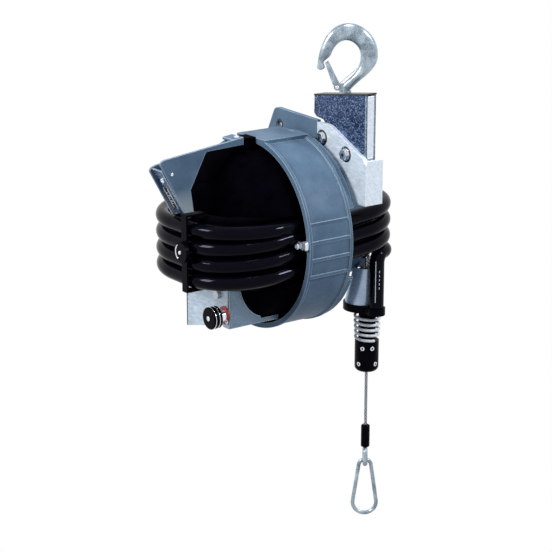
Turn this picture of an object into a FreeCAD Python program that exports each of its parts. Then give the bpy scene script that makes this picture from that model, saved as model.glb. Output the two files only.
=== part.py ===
import FreeCAD, Part
import math
import os
import Sketcher

# A spring tool balancer. Lengths in millimetres, angles in degrees, +Z up.
# The origin is the saddle of the suspension hook, where the hook bears on its support.
# X runs across the front face, +Y runs to the back, the front face looks along -Y.

SIZES = {
    # drum axis, seen from the hook saddle
    "DrumAxisX": -98, "RingMidY": -92, "DrumAxisZ": -355,
    # cast ring
    "RingRadius": 178, "RingWall": 7, "RingFront": 48, "RingBack": 49,
    "BeadRise": 2.5, "BeadWidth": 6, "RibRise": 1.8, "RibWidth": 6, "RibInner": 16, "RibOuter": 48,
    "PadHalf": 44, "PadRise": 2, "StopGap": 0.3,
    # back frame casting and its safety ear
    "FrameDepth": 23, "FrameRadius": 178, "FrameStep": 10, "EarThick": 8, "EarTop": 208,
    "EarLeft": 90, "EarFootLeft": 136, "EarRound": 16, "EarFoot": 115, "EarSlope": 20,
    "SafetyHoleX": -75, "SafetyHoleZ": 176, "SafetyHoleRadius": 7,
    # suspension plate and hanger
    "PlateRight": 184, "PlateTop": 200, "PlateShoulder": 150, "PlateFoot": 68, "PlateJoin": 42,
    "BoltOneX": 57, "BoltOneZ": 173, "BoltTwoX": 127, "BoltTwoZ": 154, "BoltRadius": 6,
    "HangerLeft": 20, "HangerRight": 172, "HangerTop": 258, "HangerSheet": 3.5, "HangerDepth": 24,
    "HangerStep": 211, "HangerFoot": 116, "SpacerFoot": 172, "SpacerWidth": 14,
    "FlangeDepth": 40, "FlangeThick": 5, "WasherRadius": 12, "WasherThick": 2, "HeadRadius": 10,
    "HeadThick": 6, "NutThick": 8,
    # front cover
    "CoverRadius": 160, "CoverWall": 4, "CoverFront": -134,
    "CoverBack": -40, "CoverRound": 66, "RimThick": 4, "LugDepth": 46, "LugFoot": 158, "LugTop": 182,
    # hose coil round the waist
    "HoseRadius": 14, "HosePitch": 31, "HoseBottom": -50, "HoseSide": 140, "HoseFrontY": -204,
    "HoseBackY": 196, "HoseFrontBend": 118, "HoseBackBend": 84, "HoseTilt": 5, "HoseLevels": 4,
    "HoseEndX": 130, "HoseEndY": 147, "HoseEndBend": 17, "WaistGap": 2, "CradleWall": 5,
    "KeeperX": 40, "KeeperWidth": 16, "KeeperThick": 4, "CapRadius": 19, "CapThick": 8,
    # drum and its housing
    "RopeRadius": 3, "DrumPitch": 100, "DrumFront": 100, "DrumWidth": 55, "LipRise": 1.5, "LipWidth": 2,
    "DrumRim": 10, "DrumWeb": 10, "HubRadius": 42, "HubOverhang": 4,
    "HousingRadius": 112, "HousingWall": 4, "HousingBack": 166, "HousingRound": 24, "RunGap": 0.05,
    "AxleRadius": 15, "AxleFront": -129, "SleeveOuter": 28,
    "BearingRadius": 42, "BearingWidth": 12, "RopeY": 150,
    # spring cassette
    "CassetteRadius": 112, "CassetteWall": 3, "CassetteFront": -104, "CassetteDepth": 50,
    "ArborRadius": 24, "SpringThick": 3, "SpringPitch": 12, "SpringTurns": 6,
    "GearRadius": 84, "GearFront": -120, "GearWidth": 10, "GearMesh": 1,
    # lower bracket, lock knob and worm screw
    "WebY": -157, "WebLeft": -53, "WebRight": 84, "WebTop": -72, "WebFootLeft": -174,
    "WebFootRight": -138, "WebThick": 6, "GussetTopY": -118, "StripHeight": 8, "StripWidth": 20,
    "KnobX": 71, "KnobZ": -122, "KnobRadius": 20.5, "KnobLength": 17, "KnobTravel": 8,
    "SleeveRadius": 12, "SleeveLength": 16, "DiscRadius": 17, "DiscThick": 2, "PinRadius": 5,
    "PinLength": 28, "ShaftRadius": 6, "GussetFootY": -86, "ScrewX": 50, "ScrewZ": -88, "ScrewHead": 8, "ScrewHeadLength": 6,
    # upper arm and its load scale
    "ArmHalf": 20, "ArmSheet": 4, "ArmTipY": -252, "ArmTipZ": 166, "ArmFootY": -205, "ArmFootZ": 54,
    "ArmRootY": -78, "ArmRootZ": 186, "ArmRound": 8, "ArmFootDepth": 14, "ArmWaistY": -194, "ArmWaistZ": 105,
    "ArmInnerY": -160, "ArmInnerZ": 170, "ArmRootDepth": 14,
    # rope guide
    "GuideTop": -78, "GuideFoot": -149, "GuideTopX": 92, "GuideTopRadius": 22, "GuideFootX": 82,
    "GuideFootRadius": 32, "GuideWall": 3, "MouthHalf": 13, "MouthHeight": 20, "BandDepth": 14, "BandGrip": 3, "RopeHole": 4,
    # rope end
    "BufferCoilTop": 24.5, "BufferCoilFoot": 20, "BufferWire": 2.3, "BufferLength": 58,
    "BufferTurns": 5.5, "CoreRadius": 11, "BlockRadius": 23, "BlockLength": 61, "BlockRound": 9,
    "RopeTail": 113, "FerruleRadius": 8.5, "FerruleLength": 45, "EyeLength": 41,
    "EyeWire": 4.5, "EyeHalf": 11,
    # carabiner
    "LinkWire": 3.8, "LinkHead": 12, "LinkFoot": 23, "LinkLength": 120, "LinkTurn": 54,
    "GateTopInset": 9, "GateFootInset": 6, "GateGap": 1.4,
    # crane hook
    "HookBowl": 26, "ShankRadius": 6, "NutRadius": 8.2,
    "NutHeight": 14, "CollarRadius": 11, "CollarHeight": 6, "HookTurn": 54,
    # safety latch of the hook
    "LatchPivotX": -15, "LatchPivotZ": -84, "LatchPinRadius": 2, "LatchHeadRadius": 3.4, "LatchSheet": 1.5,
    "BossRadius": 6, "BossWidth": 8,
}


class Size(float):
    """A number that keeps the spreadsheet expression it comes from."""

    def __new__(cls, value, text):
        size = float.__new__(cls, value)
        size.text = text
        return size

    def __add__(self, other):
        return Size(float(self) + float(other), f"({self.text} + {written(other)})")

    def __radd__(self, other):
        return Size(float(other) + float(self), f"({written(other)} + {self.text})")

    def __sub__(self, other):
        return Size(float(self) - float(other), f"({self.text} - {written(other)})")

    def __rsub__(self, other):
        return Size(float(other) - float(self), f"({written(other)} - {self.text})")

    def __mul__(self, other):
        return Size(float(self) * float(other), f"({self.text} * {written(other)})")

    __rmul__ = __mul__

    def __truediv__(self, other):
        return Size(float(self) / float(other), f"({self.text} / {written(other)})")

    def __neg__(self):
        return Size(-float(self), f"(-1 * {self.text})")


def written(number):
    """The number as a spreadsheet expression."""
    return number.text if isinstance(number, Size) else repr(float(number))


def leg(long_side, short_side):
    """The other leg of a right triangle with this long side."""
    value = math.sqrt(long_side * long_side - short_side * short_side)
    text = f"sqrt({written(long_side)} ^ 2 - {written(short_side)} ^ 2)"
    return Size(value, text)


doc = FreeCAD.newDocument("ToolBalancer")
sheet = doc.addObject("Spreadsheet::Sheet", "Sizes")
for row, (alias, value) in enumerate(SIZES.items(), 1):
    sheet.set(f"A{row}", alias)
    sheet.set(f"B{row}", str(value))
    sheet.setAlias(f"B{row}", alias)
doc.recompute()


class Sheet:
    """Reads a driving dimension by its alias."""

    def __getattr__(self, alias):
        return Size(sheet.get(alias), f"Sizes.{alias}")


S = Sheet()
PIECES = []
TURNS = {
    "X": FreeCAD.Rotation(FreeCAD.Vector(0, 1, 0), 90),
    "Y": FreeCAD.Rotation(FreeCAD.Vector(1, 0, 0), -90),
    "Z": FreeCAD.Rotation(),
}
# places that the pieces are drawn from
SADDLE = (0, 0, 0)
DRUM = (S.DrumAxisX, S.RingMidY, S.DrumAxisZ)
LINE = (S.DrumAxisX + S.DrumPitch, S.RingMidY + S.RopeY, S.DrumAxisZ)


def bind(thing, **sizes):
    for path, size in sizes.items():
        thing.setExpression(path, written(size))


def place(thing, spot, home):
    for axis, offset, base in zip("xyz", spot, home):
        thing.setExpression(f"Placement.Base.{axis}", written(offset + base))


def new(kind, name):
    """A new object with the first free name like this one."""
    thing = doc.addObject(kind, name)
    return thing


def keep(name, thing):
    """Marks an object as a finished piece, written to its own file."""
    thing.Label = name
    PIECES.append(thing)
    return thing


def rod(name, radius, length, start=SADDLE, along="Y", home=SADDLE):
    thing = new("Part::Cylinder", name)
    bind(thing, Radius=radius, Height=length)
    thing.Placement.Rotation = TURNS[along]
    place(thing, start, home)
    return thing


def block(name, lengths, corner=SADDLE, home=SADDLE):
    thing = new("Part::Box", name)
    bind(thing, Length=lengths[0], Width=lengths[1], Height=lengths[2])
    place(thing, corner, home)
    return thing


def cut(name, base, tools, home=SADDLE):
    if len(tools) > 1:
        tool = join(name + "_tools", tools)
    else:
        tool = tools[0]
    thing = new("Part::Cut", name)
    thing.Base = base
    thing.Tool = tool
    place(thing, SADDLE, home)
    return thing


def join(name, pieces, home=SADDLE):
    thing = new("Part::MultiFuse", name)
    thing.Shapes = pieces
    place(thing, SADDLE, home)
    return thing


def group(name, pieces, home=SADDLE):
    thing = new("Part::Compound", name)
    thing.Links = pieces
    place(thing, SADDLE, home)
    return thing


def base_plane(body, role):
    return next(item for item in body.Origin.OriginFeatures if item.Role == role)


def pin(sketch, geometry, position, across, along):
    """Holds a sketch point at two sizes from the origin."""
    for kind, axis, size in (("DistanceX", -2, across), ("DistanceY", -1, along)):
        if float(size) == 0 and not isinstance(size, Size):
            sketch.addConstraint(Sketcher.Constraint("PointOnObject", geometry, position, axis))
            continue
        index = sketch.addConstraint(
            Sketcher.Constraint(kind, -1, 1, geometry, position, float(size))
        )
        name = f"{kind[-1].lower()}{index}"
        sketch.renameConstraint(index, name)
        sketch.setExpression(f"Constraints.{name}", written(size))


def unit(start, end):
    length = math.dist(start, end)
    return ((end[0] - start[0]) / length, (end[1] - start[1]) / length)


def draw(body, plane, outline):
    """A closed outline on a base plane. A corner is (across, along) or (across, along, round)."""
    sketch = body.newObject("Sketcher::SketchObject", f"{body.Name}_outline")
    sketch.AttachmentSupport = [(base_plane(body, plane), "")]
    sketch.MapMode = "FlatFace"
    count = len(outline)
    spots = [(float(corner[0]), float(corner[1])) for corner in outline]
    rounds = {i: corner[2] for i, corner in enumerate(outline) if len(corner) > 2}
    arcs, starts, ends = {}, dict(enumerate(spots)), dict(enumerate(spots))
    for i, radius in rounds.items():
        into = unit(spots[i - 1], spots[i])
        out = unit(spots[i], spots[(i + 1) % count])
        bend = into[0] * out[1] - into[1] * out[0]
        turn = math.acos(max(-1.0, min(1.0, into[0] * out[0] + into[1] * out[1])))
        reach = float(radius) * math.tan(turn / 2)
        ends[i] = (spots[i][0] - into[0] * reach, spots[i][1] - into[1] * reach)
        starts[i] = (spots[i][0] + out[0] * reach, spots[i][1] + out[1] * reach)
        side = 1 if bend > 0 else -1
        middle = (ends[i][0] - into[1] * float(radius) * side, ends[i][1] + into[0] * float(radius) * side)
        arcs[i] = (side, middle)
    for i in range(count):
        first, last = starts[i], ends[(i + 1) % count]
        sketch.addGeometry(
            Part.LineSegment(FreeCAD.Vector(*first, 0), FreeCAD.Vector(*last, 0)), False
        )
    for i in range(count):
        before = (i - 1) % count
        if i not in rounds:
            sketch.addConstraint(Sketcher.Constraint("Coincident", before, 2, i, 1))
            pin(sketch, i, 1, outline[i][0], outline[i][1])
            continue
        side, middle = arcs[i]
        first, last = (ends[i], starts[i]) if side > 0 else (starts[i], ends[i])
        angles = [math.atan2(p[1] - middle[1], p[0] - middle[0]) for p in (first, last)]
        circle = Part.Circle(FreeCAD.Vector(*middle, 0), FreeCAD.Vector(0, 0, 1), float(rounds[i]))
        arc = sketch.addGeometry(Part.ArcOfCircle(circle, angles[0], angles[1]), False)
        enter, leave = (1, 2) if side > 0 else (2, 1)
        sketch.addConstraint(Sketcher.Constraint("Tangent", before, 2, arc, enter))
        sketch.addConstraint(Sketcher.Constraint("Tangent", arc, leave, i, 1))
        index = sketch.addConstraint(Sketcher.Constraint("Radius", arc, float(rounds[i])))
        sketch.renameConstraint(index, f"round{i}")
        sketch.setExpression(f"Constraints.round{i}", written(rounds[i]))
        corner = sketch.addGeometry(Part.Point(FreeCAD.Vector(*spots[i], 0)), True)
        sketch.addConstraint(Sketcher.Constraint("PointOnObject", corner, 1, before))
        sketch.addConstraint(Sketcher.Constraint("PointOnObject", corner, 1, i))
        pin(sketch, corner, 1, outline[i][0], outline[i][1])
    return sketch


def turned(name, outline, around="Y", spot=SADDLE, home=SADDLE):
    """A piece turned on a lathe. The outline gives (radius, place along the axis)."""
    body = new("PartDesign::Body", name)
    sketch = draw(body, "XY_Plane" if around == "Y" else "XZ_Plane", outline)
    turn = body.newObject("PartDesign::Revolution", f"{name}_turn")
    turn.Profile = sketch
    turn.ReferenceAxis = (sketch, ["V_Axis"])
    turn.Angle = 360
    body.Tip = turn
    place(body, spot, home)
    return body


def plate(name, outline, thickness, normal="Y", spot=SADDLE, home=SADDLE):
    """A flat piece. The outline lies across its normal, and the thickness runs along +normal."""
    body = new("PartDesign::Body", name)
    plane = {"X": "YZ_Plane", "Y": "XZ_Plane", "Z": "XY_Plane"}[normal]
    sketch = draw(body, plane, outline)
    pad = body.newObject("PartDesign::Pad", f"{name}_pad")
    pad.Profile = sketch
    bind(pad, Length=thickness)
    pad.Reversed = normal == "Y"
    body.Tip = pad
    place(body, spot, home)
    return body


def route_wire(points, bends):
    """Straight runs joined by tangent arcs. bends holds the radius at each inner point."""
    corners = [FreeCAD.Vector(*(float(value) for value in point)) for point in points]
    edges, here = [], corners[0]
    for before, corner, after, radius in zip(corners, corners[1:], corners[2:], bends):
        into = (corner - before).normalize()
        out = (after - corner).normalize()
        turn = into.getAngle(out)
        reach = float(radius) * math.tan(turn / 2)
        first, last = corner - into * reach, corner + out * reach
        inward = (out - into).normalize()
        middle = corner + inward * (float(radius) / math.cos(turn / 2) - float(radius))
        edges.append(Part.makeLine(here, first))
        edges.append(Part.Arc(first, middle, last).toShape())
        here = last
    edges.append(Part.makeLine(here, corners[-1]))
    return Part.Wire(edges)


def swept(wire, radius):
    """A round bar along a wire."""
    edge = wire.Edges[0]
    start = edge.valueAt(edge.FirstParameter)
    heading = edge.tangentAt(edge.FirstParameter)
    ring = Part.Wire(Part.makeCircle(float(radius), start, heading))
    return wire.makePipeShell([ring], True, False)


def made(name, shape, home=SADDLE, turn=0):
    """A piece whose shape is built in code, then placed."""
    thing = new("Part::Feature", name)
    thing.Shape = shape
    seat = FreeCAD.Placement(
        FreeCAD.Vector(*(float(value) for value in home)),
        FreeCAD.Rotation(FreeCAD.Vector(0, 0, 1), float(turn)),
    )
    thing.Placement = seat.multiply(shape.Placement)
    return thing


# Cast ring round the middle of the housing
def cast_ring():
    inner = S.RingRadius - S.RingWall
    bead = S.RingRadius + S.BeadRise
    front, back = -S.RingFront, S.RingBack
    shell = turned("ring_shell", [
        (inner, front), (bead, front), (bead, front + S.BeadWidth),
        (S.RingRadius, front + S.BeadWidth), (S.RingRadius, back - S.BeadWidth),
        (bead, back - S.BeadWidth), (bead, back), (inner, back),
    ])
    ribs = []
    for height in (-S.RibOuter, -S.RibInner, S.RibInner, S.RibOuter):
        edge = height + S.RibWidth / 2
        root = leg(S.RingRadius, S.RibOuter + S.RibWidth / 2) - S.RingWall / 2
        face = leg(S.RingRadius, edge)
        ribs.append(block(
            "ring_rib", (face + S.RibRise - root, S.RingFront + S.RingBack - S.BeadWidth * 2, S.RibWidth),
            (root, front + S.BeadWidth, height - S.RibWidth / 2),
        ))
    root = inner + S.StopGap
    pad = block(
        "ring_pad", (S.PadHalf * 2, S.RingFront + S.RingBack, S.RingRadius + S.PadRise - root),
        (-S.PadHalf, front, root),
    )
    return keep("cast_ring", join("cast_ring", [shell, pad] + ribs, DRUM))


def waist(name, wall):
    """The slab of space that the hose coil takes round the housing, less a core with this wall off."""
    low = S.HoseBottom - S.HoseTilt - S.HoseRadius - S.WaistGap
    high = S.HoseBottom + S.HosePitch * (S.HoseLevels - 1) + S.HoseTilt + S.HoseRadius + S.WaistGap
    slab = block(
        name + "_slab", (S.RingRadius * 4, S.RingRadius * 4, high - low),
        (-S.RingRadius * 2, -S.RingRadius * 2, low),
    )
    return cut(name, slab, [waist_core(name + "_core", wall, low, high)])


def waist_core(name, wall, low, high):
    side = S.HoseSide - S.HoseRadius - S.WaistGap - wall
    front = S.HoseFrontY + S.HoseRadius + S.WaistGap + wall
    bend = S.HoseFrontBend - S.HoseRadius - S.WaistGap - wall
    core = plate(name, [
        (-side, front, bend), (side, front, bend), (side, S.RingBack), (-side, S.RingBack),
    ], high - low, "Z", (0, 0, low))
    return core


def front_cover():
    front, radius, wall = S.CoverFront, S.CoverRadius, S.CoverWall
    rim = S.RingRadius - S.RingWall - S.StopGap
    dome = turned("cover_dome", [
        (0, front), (radius, front, S.CoverRound), (radius, S.CoverBack - S.RimThick),
        (rim, S.CoverBack - S.RimThick), (rim, S.CoverBack), (radius - wall, S.CoverBack),
        (radius - wall, front + wall, S.CoverRound - wall), (0, front + wall),
    ])
    lug = block(
        "cover_lug", ((S.ArmHalf - S.ArmSheet) * 2 - S.StopGap * 2, S.LugDepth, S.LugTop - S.LugFoot),
        (S.ArmSheet - S.ArmHalf + S.StopGap, -S.RingFront - S.LugDepth, S.LugFoot),
    )
    whole = join("cover_whole", [dome, lug])
    shaft = rod("cover_shaft_hole", S.ShaftRadius + S.StopGap, S.WebThick * 4,
                (S.ScrewX, front - S.WebThick, S.ScrewZ))
    return keep("front_cover", cut("front_cover", whole, [waist("cover_waist", S.CradleWall), shaft], DRUM))


def cover_envelope(name):
    """The space that the cover's dome takes, with a small gap."""
    front, radius = S.CoverFront - S.StopGap, S.CoverRadius + S.StopGap
    return turned(name, [(0, front), (radius, front, S.CoverRound), (radius, 0), (0, 0)])


def hose_cradle():
    low = S.HoseBottom - S.HoseTilt - S.HoseRadius - S.WaistGap
    high = S.HoseBottom + S.HosePitch * (S.HoseLevels - 1) + S.HoseTilt + S.HoseRadius + S.WaistGap
    outer = waist_core("cradle_outer", 0, low, high)
    inner = waist_core("cradle_inner", S.CradleWall, low, high)
    return keep("hose_cradle", cut("hose_cradle", outer, [inner], DRUM))


def back_frame():
    step = (S.RingBack + S.FrameDepth / 2)
    disc = turned("frame_disc", [
        (S.BearingRadius, S.RingBack), (S.FrameRadius, S.RingBack), (S.FrameRadius, step),
        (S.FrameRadius - S.FrameStep, step), (S.FrameRadius - S.FrameStep, S.RingBack + S.FrameDepth),
        (S.BearingRadius, S.RingBack + S.FrameDepth),
    ])
    ear = plate("frame_ear", [
        (S.PlateJoin, S.EarFoot + S.EarSlope), (S.PlateJoin, S.EarTop - S.EarSlope / 4),
        (-S.EarLeft, S.EarTop, S.EarRound), (-S.EarFootLeft, S.EarFoot),
    ], S.EarThick, "Y", (0, S.RingBack + S.FrameDepth, 0))
    hole = rod("frame_ear_hole", S.SafetyHoleRadius, S.EarThick * 3,
               (S.SafetyHoleX, S.RingBack + S.FrameDepth - S.EarThick, S.SafetyHoleZ))
    whole = join("frame_whole", [disc, ear])
    return keep("back_frame", cut("back_frame", whole, [waist("frame_waist", 0), hole], DRUM))


def bolt_holes(name, gap):
    face = S.RingBack + S.FrameDepth
    return [
        rod(f"{name}_hole", S.BoltRadius + gap, S.HangerDepth * 3, (x, face - S.EarThick, z))
        for x, z in ((S.BoltOneX, S.BoltOneZ), (S.BoltTwoX, S.BoltTwoZ))
    ]


def suspension_plate():
    face = S.RingBack + S.FrameDepth
    sheet_part = plate("plate_face", [
        (S.PlateJoin, S.EarFoot + S.EarSlope), (S.PlateRight - S.EarSlope, S.PlateFoot),
        (S.PlateRight, S.PlateFoot), (S.PlateRight, S.PlateShoulder, S.EarRound),
        (S.BoltOneX + S.PlateJoin / 2, S.PlateTop, S.EarRound * 2), (S.PlateJoin, S.PlateTop),
    ], S.EarThick, "Y", (0, face, 0))
    flange = plate("plate_flange", [
        (face + S.EarThick / 2, S.PlateFoot), (face + S.FlangeDepth, S.PlateFoot),
        (face + S.FlangeDepth, S.PlateShoulder), (face + S.EarThick / 2, S.PlateShoulder),
    ], S.FlangeThick, "X", (S.PlateRight - S.FlangeThick, 0, 0))
    whole = join("plate_whole", [sheet_part, flange])
    return keep("suspension_plate", cut("suspension_plate", whole, bolt_holes("plate", S.StopGap), DRUM))


def hanger():
    front = S.RingBack + S.FrameDepth + S.EarThick
    left, right, top, foot = S.HangerLeft, S.HangerRight, S.HangerTop, S.HangerFoot
    legs = [
        plate("hanger_leg", [
            (left, top), (right, top), (right, foot), (S.BoltOneX - S.EarRound, foot),
            (S.BoltOneX - S.EarRound, S.PlateTop - S.HangerSheet), (left + S.EarRound, S.HangerStep),
            (left, S.HangerStep + S.HangerSheet),
        ][::-1], S.HangerSheet, "Y", (0, y, 0))
        for y in (front, front + S.HangerDepth - S.HangerSheet)
    ]
    roof = block("hanger_roof", (right - left, S.HangerDepth, S.HangerSheet), (left, front, top - S.HangerSheet))
    shank = rod("hanger_shank_hole", S.ShankRadius + S.RunGap, S.HangerSheet * 3,
                (-S.DrumAxisX, -S.RingMidY, top - S.HangerSheet * 2), "Z")
    whole = join("hanger_whole", legs + [roof])
    return keep("hanger", cut("hanger", whole, bolt_holes("hanger", S.StopGap) + [shank], DRUM))


def hanger_spacer():
    front = S.RingBack + S.FrameDepth + S.EarThick + S.HangerSheet
    return keep("hanger_spacer", block(
        "hanger_spacer", (S.SpacerWidth, S.HangerDepth - S.HangerSheet * 2, S.HangerTop - S.HangerSheet - S.SpacerFoot),
        (S.HangerRight - S.SpacerWidth, front, S.SpacerFoot), DRUM,
    ))


def suspension_bolts():
    face = S.RingBack + S.FrameDepth
    bolts = []
    for x, z in ((S.BoltOneX, S.BoltOneZ), (S.BoltTwoX, S.BoltTwoZ)):
        shank = rod("bolt_shank", S.BoltRadius, S.EarThick + S.HangerDepth + S.NutThick, (x, face, z))
        washer = rod("bolt_washer", S.WasherRadius, S.WasherThick, (x, face - S.WasherThick, z))
        head = new("Part::Prism", "bolt_head")
        bind(head, Circumradius=S.HeadRadius, Height=S.HeadThick)
        head.Placement.Rotation = TURNS["Y"]
        place(head, (x, face - S.WasherThick - S.HeadThick, z), SADDLE)
        nut = new("Part::Prism", "bolt_nut")
        bind(nut, Circumradius=S.HeadRadius, Height=S.NutThick)
        nut.Placement.Rotation = TURNS["Y"]
        place(nut, (x, face + S.EarThick + S.HangerDepth, z), SADDLE)
        bolts.append(join("bolt", [shank, washer, head, nut]))
    return keep("suspension_bolts", group("suspension_bolts", bolts, DRUM))


# Rope drum, its housing and the axle
def drum_housing():
    front, back, radius, wall = S.RingBack + S.FrameDepth, S.HousingBack, S.HousingRadius, S.HousingWall
    cup = turned("housing_cup", [
        (radius, front), (radius, back, S.HousingRound), (S.AxleRadius, back), (S.AxleRadius, back - wall),
        (radius - wall, back - wall, S.HousingRound - wall), (radius - wall, front),
    ])
    hole = rod("housing_rope_hole", S.RopeHole * 2, S.HousingRadius, (S.DrumPitch, S.RopeY, -S.HousingRadius), "Z")
    return keep("drum_housing", cut("drum_housing", cup, [hole], DRUM))


def rope_drum():
    front, back = S.DrumFront, S.DrumFront + S.DrumWidth
    tread = S.DrumPitch - S.RopeRadius - S.RunGap
    lip, bore = tread + S.LipRise + S.RopeRadius, S.SleeveOuter
    web = (front + back) / 2
    drum = turned("rope_drum", [
        (bore, front - S.HubOverhang), (S.HubRadius, front - S.HubOverhang),
        (S.HubRadius, web - S.DrumWeb / 2), (tread - S.DrumRim, web - S.DrumWeb / 2),
        (tread - S.DrumRim, front), (lip, front), (lip, front + S.LipWidth), (tread, front + S.LipWidth),
        (tread, back - S.LipWidth), (lip, back - S.LipWidth), (lip, back), (tread - S.DrumRim, back),
        (tread - S.DrumRim, web + S.DrumWeb / 2), (S.HubRadius, web + S.DrumWeb / 2),
        (S.HubRadius, back + S.HubOverhang), (bore, back + S.HubOverhang),
    ], home=DRUM)
    return keep("rope_drum", drum)


def axle_and_sleeve():
    axle = keep("axle", rod("axle", S.AxleRadius, S.HousingBack - S.AxleFront, (0, S.AxleFront, 0), home=DRUM))
    start = S.CassetteFront + S.CassetteDepth
    end = S.DrumFront + S.DrumWidth + S.HubOverhang
    bore = S.AxleRadius + S.RunGap
    keep("drive_sleeve", turned("drive_sleeve", [
        (bore, start), (S.SleeveOuter, start), (S.SleeveOuter, end), (bore, end),
    ], home=DRUM))
    middle = S.RingBack + S.FrameDepth / 2
    keep("main_bearing", turned("main_bearing", [
        (S.SleeveOuter + S.RunGap, middle - S.BearingWidth / 2), (S.BearingRadius, middle - S.BearingWidth / 2),
        (S.BearingRadius, middle + S.BearingWidth / 2), (S.SleeveOuter + S.RunGap, middle + S.BearingWidth / 2),
    ], home=DRUM))
    return axle


# Spring cassette with its spiral spring, and the gears that tension it
def cassette():
    front, back = S.CassetteFront, S.CassetteFront + S.CassetteDepth
    radius, wall, bore = S.CassetteRadius, S.CassetteWall, S.ArborRadius + 1
    keep("spring_cassette", turned("spring_cassette", [
        (bore, front), (radius, front), (radius, back), (S.AxleRadius + S.RunGap, back),
        (S.AxleRadius + S.RunGap, back - wall), (radius - wall, back - wall), (radius - wall, front + wall),
        (bore, front + wall),
    ], home=DRUM))
    arbor_back = back - wall * 2
    bore = S.AxleRadius + S.RunGap
    keep("spring_arbor", turned("spring_arbor", [
        (bore, S.GearFront), (S.ArborRadius, S.GearFront), (S.ArborRadius, arbor_back), (bore, arbor_back),
    ], home=DRUM))
    return mainspring(front + wall * 2, S.CassetteDepth - wall * 4)


def mainspring(front, width):
    """A spiral strip of half-circle arcs whose centres alternate."""
    inner = float(S.ArborRadius + S.SpringThick / 2 + 1)
    step = float(S.SpringPitch) / 2
    half = float(S.SpringThick) / 2
    sides = []
    for offset in (half, -half):
        edges, radius, centre, side = [], inner, 0.0, 1
        for _ in range(int(S.SpringTurns * 2)):
            r = radius + offset
            start = FreeCAD.Vector(centre + side * r, 0, 0)
            top = FreeCAD.Vector(centre, 0, side * r)
            end = FreeCAD.Vector(centre - side * r, 0, 0)
            edges.append(Part.Arc(start, top, end).toShape())
            centre += side * step / 2
            radius += step / 2
            side = -side
        sides.append(edges)
    outer, inner_side = sides
    ends = [
        Part.makeLine(a[k].valueAt(getattr(a[k], p)), b[k].valueAt(getattr(b[k], p)))
        for a, b, k, p in ((outer, inner_side, 0, "FirstParameter"), (outer, inner_side, -1, "LastParameter"))
    ]
    loop = Part.Wire(Part.__sortEdges__(outer + inner_side + ends))
    strip = Part.Face(loop).extrude(FreeCAD.Vector(0, float(width), 0))
    strip.translate(FreeCAD.Vector(0, float(front), 0))
    return keep("mainspring", made("mainspring", strip, DRUM))


def tension_gears():
    reach = math.hypot(S.ScrewX, S.ScrewZ)
    distance = Size(reach, f"sqrt({S.ScrewX.text} ^ 2 + {S.ScrewZ.text} ^ 2)")
    keep("arbor_gear", turned("arbor_gear", [
        (S.ArborRadius, S.GearFront), (S.GearRadius, S.GearFront),
        (S.GearRadius, S.GearFront + S.GearWidth), (S.ArborRadius, S.GearFront + S.GearWidth),
    ], home=DRUM))
    spot = (S.ScrewX, 0, S.ScrewZ)
    pinion = distance - S.GearRadius - S.GearMesh
    shaft_front = S.WebY - S.ScrewHeadLength
    keep("tension_shaft", turned("tension_shaft", [
        (0, shaft_front), (S.ScrewHead, shaft_front), (S.ScrewHead, S.WebY - S.StopGap),
        (S.ShaftRadius, S.WebY - S.StopGap), (S.ShaftRadius, S.GearFront), (pinion, S.GearFront),
        (pinion, S.GearFront + S.GearWidth), (0, S.GearFront + S.GearWidth),
    ], spot=spot, home=DRUM))


# Lower bracket with the lock knob
def lower_bracket():
    web = plate("bracket_web", [
        (S.WebLeft, S.WebFootLeft), (S.WebRight, S.WebFootRight), (S.WebRight, S.WebTop),
        (S.WebLeft, S.WebTop),
    ], S.WebThick, "Y", (0, S.WebY, 0))
    side = plate("bracket_side", [
        (S.WebY, S.WebFootRight), (S.WebY, S.WebTop), (S.GussetTopY, S.WebTop),
        (S.GussetFootY, S.WebFootRight),
    ][::-1], S.WebThick, "X", (S.WebRight - S.WebThick, 0, 0))
    strip = block("bracket_strip", (S.StripWidth, -S.RingFront - S.WebY, S.StripHeight),
                  (S.WebRight - S.StripWidth, S.WebY, S.WebFootRight - S.StripHeight))
    pin_hole = rod("bracket_pin_hole", S.PinRadius + S.RunGap, S.WebThick * 3, (S.KnobX, S.WebY - S.WebThick, S.KnobZ))
    shaft_hole = rod("bracket_shaft_hole", S.ShaftRadius + S.RunGap, S.WebThick * 3,
                     (S.ScrewX, S.WebY - S.WebThick, S.ScrewZ))
    whole = join("bracket_whole", [web, side, strip])
    dome = cover_envelope("bracket_seat")
    return keep("lower_bracket", cut("lower_bracket", whole, [pin_hole, shaft_hole, dome], DRUM))


def lock_knob():
    spot = (S.KnobX, 0, S.KnobZ)
    disc_front = S.WebY - S.DiscThick
    sleeve_front = disc_front - S.SleeveLength
    bore = S.PinRadius + S.RunGap
    keep("lock_ring", turned("lock_ring", [
        (bore, disc_front), (S.DiscRadius, disc_front), (S.DiscRadius, S.WebY), (bore, S.WebY),
    ], spot=spot, home=DRUM))
    keep("lock_sleeve", turned("lock_sleeve", [
        (bore, sleeve_front), (S.SleeveRadius, sleeve_front), (S.SleeveRadius, disc_front), (bore, disc_front),
    ], spot=spot, home=DRUM))
    back = sleeve_front - S.StopGap
    keep("lock_knob", turned("lock_knob", [
        (0, back - S.KnobLength), (S.KnobRadius, back - S.KnobLength, 2), (S.KnobRadius, back), (0, back),
    ], spot=spot, home=DRUM))
    keep("lock_pin", rod("lock_pin", S.PinRadius, S.PinLength, (S.KnobX, back, S.KnobZ), home=DRUM))


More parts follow.
